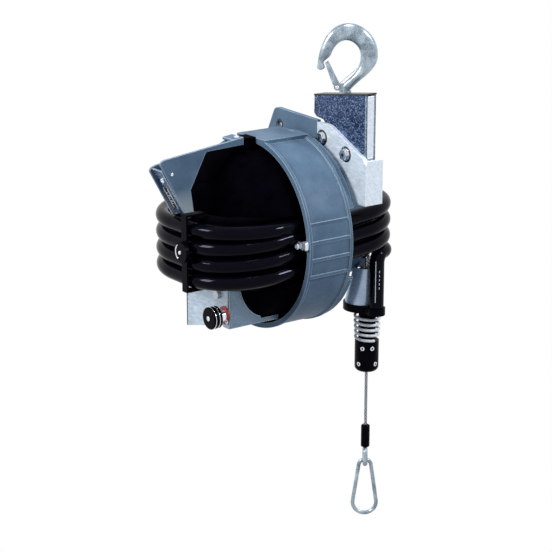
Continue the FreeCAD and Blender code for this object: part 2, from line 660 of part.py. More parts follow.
# Upper arm with the load scale
def scale_arm():
    outline = [
        (S.ArmRootY, S.ArmRootZ), (S.ArmTipY, S.ArmTipZ, S.ArmRound), (S.ArmFootY, S.ArmFootZ),
        (S.ArmFootY + S.ArmFootDepth, S.ArmFootZ + S.ArmSheet), (S.ArmWaistY, S.ArmWaistZ),
        (S.ArmInnerY, S.ArmInnerZ), (S.ArmRootY, S.ArmRootZ - S.ArmRootDepth),
    ]
    sides = [
        plate("arm_side", outline, S.ArmSheet, "X", (x, 0, 0)) for x in (-S.ArmHalf, S.ArmHalf - S.ArmSheet)
    ]
    roof = plate("arm_roof", [
        (S.ArmRootY - S.LugDepth, S.ArmRootZ - S.ArmSheet), (S.ArmRootY - S.LugDepth, S.ArmRootZ - S.ArmSheet * 2),
        (S.ArmTipY + S.ArmHalf, S.ArmTipZ - S.ArmSheet), (S.ArmTipY + S.ArmHalf, S.ArmTipZ),
    ], S.ArmHalf * 2, "X", (-S.ArmHalf, 0, 0))
    return keep("scale_arm", join("scale_arm", sides + [roof], DRUM))


def scale_insert():
    return keep("scale_insert", plate("scale_insert", [
        (S.ArmTipY + S.ArmRound, S.ArmTipZ - S.ArmRound * 2), (S.ArmFootY + S.ArmSheet, S.ArmFootZ + S.ArmRound),
        (S.ArmFootY + S.ArmSheet * 2, S.ArmFootZ + S.ArmRound), (S.ArmTipY + S.ArmRound * 2, S.ArmTipZ - S.ArmRound * 2),
    ], (S.ArmHalf - S.ArmSheet) * 2, "X", (S.ArmSheet - S.ArmHalf, 0, 0), DRUM))


# Hose coil wound round the waist
def hose_coil():
    side, front, back = S.HoseSide, S.HoseFrontY, S.HoseBackY
    end_x, end_y = S.HoseEndX, S.HoseEndY
    low = S.HoseBottom + S.HoseTilt
    points = [
        (end_x, end_y, S.GuideFoot), (end_x, end_y, low),
        (end_x - S.HoseRadius, (end_y + back * 2) / 3, low), (end_x / 2, back, low),
    ]
    bends = [S.HoseEndBend, S.HoseEndBend * 2, S.HoseFrontBend]
    for level in range(int(S.HoseLevels)):
        height = S.HoseBottom + S.HosePitch * level
        if level:
            points.append((side, back, height + S.HoseTilt))
            bends.append(S.HoseBackBend)
        points += [
            (-side, back, height + S.HoseTilt), (-side, front, height - S.HoseTilt),
            (side, front, height - S.HoseTilt),
        ]
        bends += [S.HoseBackBend, S.HoseFrontBend, S.HoseFrontBend]
    points.append((side, 0, S.HoseBottom + S.HosePitch * (S.HoseLevels - 1)))
    wire = route_wire(points, bends)
    tube = swept(wire, S.HoseRadius)
    expected = math.pi * S.HoseRadius ** 2 * wire.Length
    print("hose bends", [float(bend) for bend in bends])
    print(f"hose length {wire.Length:.0f}, volume over section times length {tube.Volume / expected:.4f}")
    return keep("hose", made("hose", tube, DRUM))


def hose_keeper():
    low = S.HoseBottom - S.HoseTilt - S.HoseRadius - S.WaistGap
    high = S.HoseBottom + S.HosePitch * (S.HoseLevels - 1) + S.HoseTilt + S.HoseRadius + S.WaistGap
    outside = S.HoseFrontY - S.HoseRadius - S.StopGap
    reach = S.HoseRadius * 2 + S.WaistGap + S.StopGap + S.CradleWall
    left = S.KeeperX - S.KeeperWidth / 2
    strap = block("keeper_strap", (S.KeeperWidth, S.KeeperThick, high - low), (left, outside - S.KeeperThick, low))
    ears = [
        block("keeper_ear", (S.KeeperWidth, reach + S.KeeperThick, S.KeeperThick), (left, outside - S.KeeperThick, z))
        for z in (low - S.KeeperThick, high)
    ]
    keep("hose_keeper", join("hose_keeper", [strap] + ears, DRUM))
    face = outside - S.KeeperThick
    keep("keeper_cap", rod("keeper_cap", S.CapRadius, S.CapThick, (S.KeeperX, face - S.CapThick, 0), home=DRUM))


# Rope guide under the drum
def rope_guide():
    height = S.GuideTop - S.GuideFoot
    foot_x = S.GuideFootX - S.DrumPitch
    top_x = S.GuideTopX - S.DrumPitch
    shell = []
    for name, less in (("guide_outer", 0), ("guide_inner", float(S.GuideWall))):
        rings = [
            Part.Wire(Part.makeCircle(float(radius) - less, FreeCAD.Vector(float(x), 0, float(z))))
            for radius, x, z in (
                (S.GuideFootRadius, foot_x, S.GuideFoot), (S.GuideTopRadius, top_x, S.GuideTop)
            )
        ]
        shell.append(Part.makeLoft(rings, True, True))
    seat = Part.makeCylinder(
        float(S.HousingRadius), float(S.RopeY) * 2,
        FreeCAD.Vector(-float(S.DrumPitch), -float(S.RopeY), 0), FreeCAD.Vector(0, 1, 0),
    )
    keep("rope_guide", made("rope_guide", shell[0].cut([shell[1], seat]), LINE))
    x, y = S.GuideTopX, S.RopeY
    half = S.MouthHalf
    blank = block("mouth_blank", (half * 2, half * 2, S.MouthHeight), (x - half, y - half, S.GuideTop))
    drum_side = rod("mouth_seat", S.HousingRadius, S.HousingRadius * 2, (0, 0, 0))
    hole = rod("mouth_hole", S.RopeHole * 2, S.HousingRadius, (S.DrumPitch, S.RopeY, -S.HousingRadius), "Z")
    keep("guide_mouth", cut("guide_mouth", blank, [drum_side, hole], DRUM))
    pad_foot = rod("band_foot", S.GuideFootRadius + S.BandGrip, S.BandDepth,
                   (S.GuideFootX, y, S.GuideFoot - S.BandDepth), "Z")
    pad_hose = rod("band_hose", S.HoseRadius + S.BandGrip, S.BandDepth,
                   (S.HoseEndX, S.HoseEndY, S.GuideFoot - S.BandDepth), "Z")
    bridge = block("band_bridge", (S.HoseEndX - S.GuideFootX, S.HoseRadius * 2, S.BandDepth),
                   (S.GuideFootX, S.HoseEndY - S.HoseRadius, S.GuideFoot - S.BandDepth))
    rope_way = rod("band_hole", S.RopeHole, S.BandDepth * 3,
                   (S.DrumPitch, y, S.GuideFoot - S.BandDepth * 2), "Z")
    whole = join("band_whole", [pad_foot, pad_hose, bridge])
    keep("guide_band", cut("guide_band", whole, [rope_way], DRUM))


# Rope end: stop spring, buffer block, rope, ferrule, eye
def rope_end():
    band = S.GuideFoot - S.BandDepth
    top = band - S.StopGap
    block_top = top - S.BufferLength
    block_foot = block_top - S.BlockLength
    keep("load_rope", rod("load_rope", S.RopeRadius, -block_top, (0, 0, block_top), "Z", LINE))
    wire_radius = float(S.BufferWire)
    pitch = float(S.BufferLength - S.BufferWire * 2) / float(S.BufferTurns)
    height = float(S.BufferLength - S.BufferWire * 2)
    cone = math.degrees(math.atan2(float(S.BufferCoilTop - S.BufferCoilFoot), height))
    coil = Part.makeHelix(pitch, height, float(S.BufferCoilFoot), cone)
    bar = swept(Part.Wire(coil.Edges), wire_radius)
    bar.translate(FreeCAD.Vector(0, 0, float(block_top + S.BufferWire)))
    keep("stop_spring", made("stop_spring", bar, LINE))
    bore = S.RopeRadius
    keep("stop_core", turned("stop_core", [
        (bore + 1, block_top), (S.CoreRadius, block_top), (S.CoreRadius, top - S.BufferWire * 3),
        (bore + 1, top - S.BufferWire * 3),
    ], "Z", home=LINE))
    keep("buffer_block", turned("buffer_block", [
        (bore, block_foot), (S.BlockRadius, block_foot, S.BlockRound), (S.BlockRadius, block_top),
        (bore, block_top),
    ], "Z", home=LINE))
    tail_foot = block_foot - S.RopeTail
    keep("rope_tail", rod("rope_tail", S.RopeRadius, S.RopeTail + S.BlockLength, (0, 0, tail_foot), "Z", LINE))
    ferrule_foot = tail_foot - S.FerruleLength
    keep("ferrule", turned("ferrule", [
        (0, ferrule_foot), (S.FerruleRadius, ferrule_foot, 2), (S.FerruleRadius, tail_foot, 3), (0, tail_foot),
    ], "Z", home=LINE))
    return ferrule_foot


def rope_eye(ferrule_foot):
    wire, half = float(S.EyeWire), float(S.EyeHalf)
    top = float(ferrule_foot) - wire
    low = top - float(S.EyeLength) + wire * 2
    up, down = top - half, low + half
    edges = [
        Part.Arc(*(FreeCAD.Vector(0, y, z) for y, z in ((-half, up), (0, top), (half, up)))).toShape(),
        Part.makeLine(FreeCAD.Vector(0, half, up), FreeCAD.Vector(0, half, down)),
        Part.Arc(*(FreeCAD.Vector(0, y, z) for y, z in ((half, down), (0, low), (-half, down)))).toShape(),
        Part.makeLine(FreeCAD.Vector(0, -half, down), FreeCAD.Vector(0, -half, up)),
    ]
    keep("rope_eye", made("rope_eye", swept(Part.Wire(edges), wire), LINE, S.LinkTurn))
    return low


def carabiner(eye_low):
    wire = float(S.LinkWire)
    head, foot = float(S.LinkHead), float(S.LinkFoot)
    top = eye_low + float(S.EyeWire) + wire + float(S.StopGap)
    head_z = top - head
    foot_z = top - float(S.LinkLength) + wire * 2 + foot
    span = head_z - foot_z
    lean = math.asin((foot - head) / span)
    out, rise = math.cos(lean), math.sin(lean)

    def spot(x, z):
        return FreeCAD.Vector(x, 0, z)

    head_left, head_right = spot(-head * out, head_z + head * rise), spot(head * out, head_z + head * rise)
    foot_left, foot_right = spot(-foot * out, foot_z + foot * rise), spot(foot * out, foot_z + foot * rise)
    down = (foot_left - head_left).normalize()
    gate_top = head_left + down * float(S.GateTopInset)
    gate_foot = foot_left - down * float(S.GateFootInset)
    edges = [
        Part.makeLine(gate_foot, foot_left),
        Part.Arc(foot_left, spot(0, foot_z - foot), foot_right).toShape(),
        Part.makeLine(foot_right, head_right),
        Part.Arc(head_right, spot(0, head_z + head), head_left).toShape(),
        Part.makeLine(head_left, gate_top),
    ]
    keep("carabiner", made("carabiner", swept(Part.Wire(edges), wire), LINE, S.LinkTurn))
    gap, reach = float(S.GateGap), (gate_foot - gate_top).Length
    gate = Part.makeCylinder(wire, reach - gap - float(S.StopGap), gate_top + down * gap, down)
    keep("carabiner_gate", made("carabiner_gate", gate, LINE, S.LinkTurn))
    home = FreeCAD.Vector(*(float(value) for value in LINE))
    turn = FreeCAD.Rotation(FreeCAD.Vector(0, 0, 1), float(S.LinkTurn))
    pivot = home + turn.multVec(gate_top)
    print("gate pivot", [round(value, 3) for value in pivot], "eye low", round(float(LINE[2]) + eye_low, 3))


# Suspension hook
def oval(inner, far, thick):
    """A section across the hook, from its inner edge to its far edge."""
    middle = FreeCAD.Vector((inner[0] + far[0]) / 2, 0, (inner[1] + far[1]) / 2)
    long = FreeCAD.Vector(far[0] - inner[0], 0, far[1] - inner[1]) / 2
    spots = []
    for step in range(12):
        way = 2 * math.pi * step / 12
        spots.append(middle + long * math.cos(way) + FreeCAD.Vector(0, thick / 2 * math.sin(way), 0))
    curve = Part.BSplineCurve()
    curve.interpolate(spots + spots[:1])
    return Part.Wire(curve.toShape())


# Sections from the hook's tip round to its neck, in parts of the bowl's radius:
# the inner edge (across, up), the outer edge (across, up) and the thickness.
HOOK_SECTIONS = [
    ((-1.73, -2.06), (-1.98, -1.94), 0.22), ((-1.50, -1.62), (-1.93, -1.54), 0.38),
    ((-1.40, -1.38), (-1.88, -1.19), 0.50), ((-1.12, -1.15), (-1.81, -0.85), 0.62),
    ((-0.92, -0.77), (-1.65, -0.35), 0.66), ((-0.62, -0.31), (-1.27, 0.40), 0.70),
    ((0.00, 0.00), (-0.15, 1.15), 0.74), ((0.62, -0.23), (1.31, 0.81), 0.78),
    ((1.00, -0.81), (2.15, -0.42), 0.78), ((1.02, -1.38), (2.17, -1.46), 0.78),
    ((0.83, -1.96), (1.62, -2.27), 0.70), ((0.38, -2.54), (1.00, -2.81), 0.62),
]


def crane_hook():
    bowl = float(S.HookBowl)
    wires = [
        oval([bowl * value for value in inner], [bowl * value for value in outer], bowl * thick)
        for inner, outer, thick in HOOK_SECTIONS
    ]
    neck = float(S.HangerTop + S.DrumAxisZ + S.CollarHeight)
    radius, end = float(S.ShankRadius) - 1, neck - float(S.CollarHeight) / 2
    wires.append(oval((-radius, neck + radius * 2), (radius * 2.5, neck + radius), radius * 2.5))
    wires.append(oval((-radius, end), (radius, end), radius * 2))
    shape = Part.makeLoft(wires, True, False)
    print("hook valid", shape.isValid(), round(shape.Volume))
    return shape, neck


def across(radius, start, end, spot):
    """A cylinder across the hook's plane."""
    return Part.makeCylinder(
        radius, end - start, FreeCAD.Vector(spot[0], start, spot[1]), FreeCAD.Vector(0, 1, 0)
    )


def slab(points, start, end):
    """A plate in the hook's plane."""
    line = Part.makePolygon([FreeCAD.Vector(x, start, z) for x, z in points + points[:1]])
    return Part.Face(line).extrude(FreeCAD.Vector(0, end - start, 0))


def latch():
    """The sprung latch: two cheeks on a pin, with a bridge along their outer edge."""
    x, z = float(S.LatchPivotX), float(S.LatchPivotZ)
    bowl, sheet = float(S.HookBowl), float(S.LatchSheet)
    inside = float(S.BossWidth) / 2 + float(S.StopGap)
    outside, radius = inside + sheet, float(S.BossRadius)
    tip_left, tip_right = (-1.41 * bowl, -1.60 * bowl), (-1.19 * bowl, -1.44 * bowl)
    low_left, low_right = (x - radius * 1.4, z + radius), (x + radius * 0.9, z + radius * 0.7)
    outline = [tip_left, tip_right, low_right, (x, z - radius * 0.5), low_left]
    cheeks = []
    for start, end in ((-outside, -inside), (inside, outside)):
        cheeks += [slab(outline, start, end), across(radius, start, end, (x, z))]
    bridge = slab([
        tip_left, (tip_left[0] + sheet, tip_left[1]), (low_left[0] + sheet, low_left[1]), low_left,
    ], -outside, outside)
    whole = bridge.fuse(cheeks).removeSplitter()
    bore = across(float(S.LatchPinRadius + S.RunGap), -outside * 2, outside * 2, (x, z))
    keep("hook_latch", made("hook_latch", whole.cut(bore), SADDLE, S.HookTurn))
    head, end = float(S.LatchHeadRadius), outside + float(S.StopGap)
    pin = across(float(S.LatchPinRadius), -end, end, (x, z)).fuse([
        across(head, start, start + sheet, (x, z)) for start in (-end - sheet, end)
    ])
    keep("latch_pin", made("latch_pin", pin.removeSplitter(), SADDLE, S.HookTurn))


def hook_and_nut():
    shape, neck = crane_hook()
    top = S.HangerTop + S.DrumAxisZ
    foot = top - S.HangerSheet - S.NutHeight - S.WasherThick
    shank = Part.makeCylinder(
        float(S.ShankRadius), float(top + S.CollarHeight / 4 - foot), FreeCAD.Vector(0, 0, float(foot))
    )
    collar = Part.makeCylinder(
        float(S.CollarRadius), float(S.CollarHeight) - float(S.StopGap), FreeCAD.Vector(0, 0, float(top + S.StopGap))
    )
    spot = (float(S.LatchPivotX), float(S.LatchPivotZ))
    radius, half = float(S.BossRadius), float(S.BossWidth) / 2
    boss = [
        across(radius, -half, half, spot),
        slab([(spot[0], spot[1] - radius), (spot[0], spot[1] + radius), (0, spot[1] + radius), (0, spot[1] - radius)],
             -half, half),
    ]
    bore = across(float(S.LatchPinRadius + S.RunGap), -half * 2, half * 2, spot)
    whole = shape.fuse([shank, collar] + boss).cut(bore)
    keep("crane_hook", made("crane_hook", whole, SADDLE, S.HookTurn))
    keep("hook_nut", turned("hook_nut", [
        (S.ShankRadius, foot), (S.NutRadius, foot), (S.NutRadius, foot + S.NutHeight),
        (S.ShankRadius, foot + S.NutHeight),
    ], "Z"))


cast_ring()
front_cover()
hose_cradle()
back_frame()
suspension_plate()
hanger()
hanger_spacer()
suspension_bolts()
drum_housing()
rope_drum()
axle_and_sleeve()
cassette()
tension_gears()
lower_bracket()
lock_knob()
scale_arm()
scale_insert()
hose_coil()
hose_keeper()
rope_guide()
eye_low = rope_eye(rope_end())
carabiner(eye_low)
hook_and_nut()
latch()

doc.recompute()
failed = [item.Label for item in doc.Objects if {"Invalid", "Error"} & set(item.State)]
if failed:
    raise RuntimeError(f"these did not build: {failed}")
for piece in PIECES:
    if piece.Shape.isNull() or not piece.Shape.isValid():
        raise RuntimeError(f"{piece.Label} has no valid shape")
os.makedirs("parts", exist_ok=True)
for piece in PIECES:
    piece.Shape.exportStep(f"parts/{piece.Label}.step")
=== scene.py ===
"""A spring tool balancer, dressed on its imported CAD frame. Lengths in metres."""

import math

import bmesh
import bpy
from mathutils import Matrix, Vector


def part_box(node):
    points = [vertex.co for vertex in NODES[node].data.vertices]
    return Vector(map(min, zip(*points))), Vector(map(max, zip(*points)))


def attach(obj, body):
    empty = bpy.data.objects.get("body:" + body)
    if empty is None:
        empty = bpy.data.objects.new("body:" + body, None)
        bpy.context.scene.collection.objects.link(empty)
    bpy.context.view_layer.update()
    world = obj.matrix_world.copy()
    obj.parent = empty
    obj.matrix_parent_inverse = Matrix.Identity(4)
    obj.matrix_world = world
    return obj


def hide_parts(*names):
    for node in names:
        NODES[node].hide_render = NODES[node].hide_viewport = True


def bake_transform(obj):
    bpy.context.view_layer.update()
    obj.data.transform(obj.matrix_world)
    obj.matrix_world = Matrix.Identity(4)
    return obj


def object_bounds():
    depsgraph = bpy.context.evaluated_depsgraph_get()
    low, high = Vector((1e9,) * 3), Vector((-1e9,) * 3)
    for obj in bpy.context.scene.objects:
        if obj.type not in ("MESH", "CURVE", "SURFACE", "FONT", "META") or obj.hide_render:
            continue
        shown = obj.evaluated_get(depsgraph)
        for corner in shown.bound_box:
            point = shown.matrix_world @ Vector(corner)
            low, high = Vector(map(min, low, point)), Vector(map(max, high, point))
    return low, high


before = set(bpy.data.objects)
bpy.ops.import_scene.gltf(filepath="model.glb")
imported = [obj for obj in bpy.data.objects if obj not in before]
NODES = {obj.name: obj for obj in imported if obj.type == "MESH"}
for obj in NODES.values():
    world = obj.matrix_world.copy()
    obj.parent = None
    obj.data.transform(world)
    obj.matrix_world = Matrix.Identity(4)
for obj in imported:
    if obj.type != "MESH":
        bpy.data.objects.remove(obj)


def save_bounds(sizes, name):
    """Keeps the whole object's box as plain lists."""
    low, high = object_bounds()
    sizes[name] = [list(low), list(high)]
    return sizes


SIZES = save_bounds({}, "after_load")


# Node materials
class Shader:
    """A principled material whose nodes are added by name."""

    def __init__(self, name, colour, metallic=0.0, roughness=0.5):
        self.material = bpy.data.materials.new(name)
        self.material.use_nodes = True
        self.tree = self.material.node_tree
        self.surface = self.tree.nodes["Principled BSDF"]
        self.set("Base Color", (*colour, 1))
        self.set("Metallic", metallic)
        self.set("Roughness", roughness)
        self.spot = self.node("ShaderNodeTexCoord").outputs["Object"]

    def set(self, socket, value):
        self.surface.inputs[socket].default_value = value

    def node(self, kind, **settings):
        made = self.tree.nodes.new(kind)
        for key, value in settings.items():
            if key in made.inputs:
                made.inputs[key].default_value = value
            else:
                setattr(made, key, value)
        return made

    def link(self, start, end):
        self.tree.links.new(start, end)

    def noise(self, scale, detail=4.0, roughness=0.6, stretch=(1, 1, 1)):
        """Noise over the object, between 0 and 1, drawn out along an axis by stretch."""
        mapping = self.node("ShaderNodeMapping")
        mapping.inputs["Scale"].default_value = stretch
        self.link(self.spot, mapping.inputs["Vector"])
        noise = self.node("ShaderNodeTexNoise", Scale=scale, Detail=detail, Roughness=roughness)
        self.link(mapping.outputs["Vector"], noise.inputs["Vector"])
        return noise.outputs["Fac"]

    def cells(self, scale):
        cells = self.node("ShaderNodeTexVoronoi", Scale=scale)
        self.link(self.spot, cells.inputs["Vector"])
        return cells.outputs["Color"]

    def ramp(self, value, *stops):
        """Colours a value; each stop is (place, colour)."""
        ramp = self.node("ShaderNodeValToRGB")
        elements = ramp.color_ramp.elements
        while len(elements) < len(stops):
            elements.new(0.5)
        for element, (place, colour) in zip(elements, stops):
            element.position = place
            element.color = (*colour, 1)
        self.link(value, ramp.inputs["Fac"])
        return ramp.outputs["Color"]

    def mapped(self, value, low, high, start=0.3, end=0.7):
        """Runs a value from low to high as it goes from start to end."""
        node = self.node("ShaderNodeMapRange")
        for socket, number in (("From Min", start), ("From Max", end), ("To Min", low), ("To Max", high)):
            node.inputs[socket].default_value = number
        self.link(value, node.inputs["Value"])
        return node.outputs["Result"]

    def mix(self, factor, first, second):
        """Mixes two colours; each is a colour or a socket."""
        node = self.node("ShaderNodeMix", data_type="RGBA")
        sockets = [s for s in node.inputs if s.type == "RGBA"]
        for socket, colour in zip(sockets, (first, second)):
            if isinstance(colour, tuple):
                socket.default_value = (*colour, 1)
            else:
                self.link(colour, socket)
        if isinstance(factor, float):
            node.inputs[0].default_value = factor
        else:
            self.link(factor, node.inputs[0])
        return next(s for s in node.outputs if s.type == "RGBA")

    def edges(self, radius):
        """1 on sharp edges, 0 on flat faces."""
        bevel = self.node("ShaderNodeBevel", samples=6, Radius=radius)
        geometry = self.node("ShaderNodeNewGeometry")
        dot = self.node("ShaderNodeVectorMath", operation="DOT_PRODUCT")
        self.link(bevel.outputs["Normal"], dot.inputs[0])
        self.link(geometry.outputs["Normal"], dot.inputs[1])
        return self.mapped(dot.outputs["Value"], 1.0, 0.0, 0.75, 0.98)

    def bump(self, value, distance, strength=1.0, rounded=0.0):
        bump = self.node("ShaderNodeBump", Distance=distance, Strength=strength)
        self.link(value, bump.inputs["Height"])
        if rounded:
            bevel = self.node("ShaderNodeBevel", samples=6, Radius=rounded)
            self.link(bevel.outputs["Normal"], bump.inputs["Normal"])
        self.link(bump.outputs["Normal"], self.surface.inputs["Normal"])

    def colour(self, socket):
        self.link(socket, self.surface.inputs["Base Color"])

    def rough(self, socket):
        self.link(socket, self.surface.inputs["Roughness"])


PALE_FOOT = (-0.290, -0.245)


def casting(name="casting", pale_foot=False):
    """Blue-grey painted die casting with a fine grain and pale edges, partly wear and partly painted
    highlight, and for the arm a paler foot.
    """
    shade = Shader(name, (0.12, 0.19, 0.28), 0.0, 0.5)
    cloud = shade.noise(22, 3)
    base = shade.ramp(cloud, (0.3, (0.050, 0.095, 0.160)), (0.7, (0.100, 0.165, 0.240)))
    grain = shade.noise(900, 3, 0.7)
    speckled = shade.mix(0.3, base, shade.ramp(grain, (0.35, (0.03, 0.07, 0.13)), (0.7, (0.22, 0.30, 0.38))))
    if pale_foot:
        height = shade.node("ShaderNodeSeparateXYZ")
        shade.link(shade.spot, height.inputs[0])
        paler = shade.mapped(height.outputs["Z"], 1.0, 0.0, *PALE_FOOT)
        speckled = shade.mix(paler, speckled, (0.36, 0.41, 0.44))
    # Pale edges: partly wear, partly painted highlight on the edge beads.
    worn_and_highlit = shade.mix(shade.edges(0.0020), speckled, (0.50, 0.62, 0.72))
    shade.colour(worn_and_highlit)
    shade.set("Specular IOR Level", 0.15)
    shade.rough(shade.mapped(shade.noise(140, 4), 0.42, 0.58))
    shade.bump(grain, 0.00012, 0.5, rounded=0.0008)
    return shade.material


def zinc():
    """Bright zinc plate, lightly mottled and scratched."""
    shade = Shader("zinc", (0.82, 0.85, 0.88), 0.85, 0.3)
    mottle = shade.noise(160, 5, 0.65)
    base = shade.ramp(mottle, (0.3, (0.54, 0.62, 0.71)), (0.7, (0.80, 0.85, 0.91)))
    shade.colour(shade.mix(shade.edges(0.0012), base, (0.95, 0.97, 1.0)))
    shade.rough(shade.mapped(shade.noise(420, 3), 0.2, 0.42))
    scratches = shade.noise(60, 6, 0.7, (1, 1, 14))
    shade.bump(scratches, 0.00008, 0.5, rounded=0.0005)
    return shade.material


def bright_sheet():
    """Bright brushed sheet."""
    shade = Shader("bright_sheet", (0.75, 0.80, 0.85), 0.35, 0.4)
    brushed = shade.noise(260, 4, 0.6, (0.25, 1, 1))
    front = shade.ramp(brushed, (0.3, (0.60, 0.68, 0.75)), (0.7, (0.82, 0.88, 0.93)))
    shade.colour(shade.mix(shade.edges(0.0015), front, (0.92, 0.95, 0.98)))
    shade.rough(shade.mapped(brushed, 0.34, 0.52))
    shade.bump(brushed, 0.00006, 0.4, rounded=0.0008)
    return shade.material


def blued():
    """Smooth blue-grey lacquer over metal."""
    shade = Shader("blued", (0.46, 0.58, 0.74), 0.4, 0.26)
    cloud = shade.noise(40, 3)
    shade.colour(shade.ramp(cloud, (0.3, (0.40, 0.52, 0.70)), (0.7, (0.56, 0.66, 0.80))))
    shade.rough(shade.mapped(shade.noise(300, 3), 0.2, 0.34))
    shade.bump(shade.noise(900, 2), 0.00004, 0.3, rounded=0.0006)
    return shade.material


def pale_sheet():
    """Bare sheet: bright and brushed on its front; faces turned towards +X are painted darker, bluer and
    grained, as painted shade on its flanks.
    """
    shade = Shader("pale_sheet", (0.55, 0.63, 0.72), 0.5, 0.4)
    brushed = shade.noise(240, 4, 0.6, (0.25, 1, 1))
    front = shade.ramp(brushed, (0.3, (0.34, 0.43, 0.52)), (0.7, (0.60, 0.69, 0.78)))
    grain = shade.noise(700, 3, 0.7)
    shaded_flank = shade.ramp(grain, (0.36, (0.05, 0.10, 0.16)), (0.66, (0.26, 0.36, 0.46)))
    # Painted shade: the colour goes dark and blue as the face turns towards +X.
    shade_by_facing = shade.node("ShaderNodeSeparateXYZ")
    shade.link(shade.node("ShaderNodeNewGeometry").outputs["Normal"], shade_by_facing.inputs[0])
    base = shade.mix(shade.mapped(shade_by_facing.outputs["X"], 0.0, 1.0, 0.5, 0.9), front, shaded_flank)
    shade.colour(shade.mix(shade.edges(0.0018), base, (0.86, 0.92, 0.96)))
    shade.rough(shade.mapped(brushed, 0.34, 0.52))
    shade.bump(brushed, 0.00006, 0.4, rounded=0.0008)
    return shade.material


def forged_zinc():
    """Forged steel under bright zinc: pale, with darker patches at random and fine dark and pale specks."""
    shade = Shader("forged_zinc", (0.5, 0.6, 0.65), 0.45, 0.3)
    lumps, specks = shade.noise(45, 3, 0.5), shade.noise(700, 3, 0.7)
    pale = shade.ramp(lumps, (0.38, (0.11, 0.16, 0.21)), (0.62, (0.46, 0.56, 0.61)))
    spotted = shade.ramp(specks, (0.4, (0.06, 0.10, 0.16)), (0.62, (0.80, 0.88, 0.90)))
    shade.colour(shade.mix(0.35, pale, spotted))
    shade.rough(shade.mapped(shade.noise(300, 3), 0.18, 0.36))
    shade.bump(specks, 0.00015, 0.5)
    return shade.material


def galvanised():
    """Galvanised sheet with small bright spangles on dark blue."""
    shade = Shader("galvanised", (0.2, 0.26, 0.4), 0.65, 0.36)
    spangle = shade.cells(620)
    grey = shade.node("ShaderNodeRGBToBW")
    shade.link(spangle, grey.inputs[0])
    tones = shade.ramp(
        grey.outputs[0],
        (0.3, (0.003, 0.006, 0.045)), (0.62, (0.010, 0.024, 0.100)), (0.85, (0.300, 0.440, 0.620)),
    )
    cloud = shade.mapped(shade.noise(30, 3), 0.0, 0.3)
    softened = shade.mix(cloud, tones, (0.05, 0.11, 0.24))
    shade.colour(shade.mix(shade.edges(0.002), softened, (0.55, 0.74, 0.78)))
    shade.rough(shade.mapped(grey.outputs[0], 0.28, 0.5, 0.0, 1.0))
    shade.bump(grey.outputs[0], 0.00006, 0.4, rounded=0.0006)
    return shade.material


def black_plastic(name="black_plastic", roughness=(0.22, 0.38), ior=1.11):
    """Glossy black moulding with faint handling marks."""
    shade = Shader(name, (0.004, 0.004, 0.006), 0.0, 0.3)
    smudge = shade.noise(45, 5, 0.6)
    shade.colour(shade.ramp(smudge, (0.35, (0.0005, 0.0005, 0.0012)), (0.75, (0.0014, 0.0013, 0.0030))))
    shade.rough(shade.mapped(smudge, *roughness))
    shade.set("IOR", ior)
    shade.set("Specular Tint", (0.74, 0.72, 1.0, 1))
    shade.bump(shade.noise(1400, 2), 0.00005, 0.35, rounded=0.0008)
    return shade.material


def hose_black():
    """Smooth black hose with a violet sheen in its highlights."""
    shade = Shader("hose_black", (0.001, 0.001, 0.003), 0.0, 0.14)
    rings = shade.noise(260, 3, 0.5)
    shade.colour(shade.ramp(rings, (0.3, (0.0006, 0.0006, 0.0018)), (0.7, (0.0016, 0.0014, 0.0042))))
    shade.rough(shade.mapped(shade.noise(60, 4), 0.05, 0.12))
    shade.set("IOR", 1.16)
    shade.set("Specular Tint", (0.72, 0.70, 1.0, 1))
    shade.bump(rings, 0.0001, 0.3)
    return shade.material


def white_coat():
    """White plastic-dipped wire, slightly grubby."""
    shade = Shader("white_coat", (0.86, 0.87, 0.88), 0.0, 0.34)
    dirt = shade.noise(180, 4)
    shade.colour(shade.ramp(dirt, (0.32, (0.62, 0.64, 0.67)), (0.55, (0.88, 0.89, 0.90))))
    shade.rough(shade.mapped(dirt, 0.5, 0.28))
    shade.bump(shade.noise(900, 2), 0.00006, 0.4)
    return shade.material


def red_plastic():
    shade = Shader("red_plastic", (0.36, 0.02, 0.02), 0.0, 0.42)
    shade.colour(shade.ramp(shade.noise(200, 4), (0.3, (0.22, 0.010, 0.012)), (0.7, (0.42, 0.030, 0.028))))
    shade.bump(shade.noise(1200, 2), 0.00006, 0.4)
    return shade.material


def chrome():
    shade = Shader("chrome", (0.75, 0.77, 0.80), 1.0, 0.12)
    shade.rough(shade.mapped(shade.noise(240, 4), 0.08, 0.2))
    shade.bump(shade.noise(900, 2), 0.00003, 0.3, rounded=0.0004)
    return shade.material


def steel(name="steel", tone=1.0):
    """Turned steel with fine tool lines."""
    shade = Shader(name, (0.5, 0.52, 0.55), 0.9, 0.35)
    lines = shade.noise(500, 3, 0.6, (1, 0.04, 1))
    dark, pale = [tuple(c * tone for c in colour) for colour in ((0.34, 0.36, 0.40), (0.60, 0.62, 0.66))]
    shade.colour(shade.ramp(lines, (0.3, dark), (0.7, pale)))
    shade.rough(shade.mapped(lines, 0.25, 0.45))
    shade.bump(lines, 0.00005, 0.4, rounded=0.0004)
    return shade.material


def brass():
    shade = Shader("brass", (0.6, 0.42, 0.18), 0.9, 0.35)
    tarnish = shade.noise(120, 4)
    shade.colour(shade.ramp(tarnish, (0.3, (0.34, 0.22, 0.09)), (0.7, (0.66, 0.48, 0.22))))
    shade.rough(shade.mapped(tarnish, 0.5, 0.28))
    shade.bump(shade.noise(700, 2), 0.00005, 0.4, rounded=0.0004)
    return shade.material


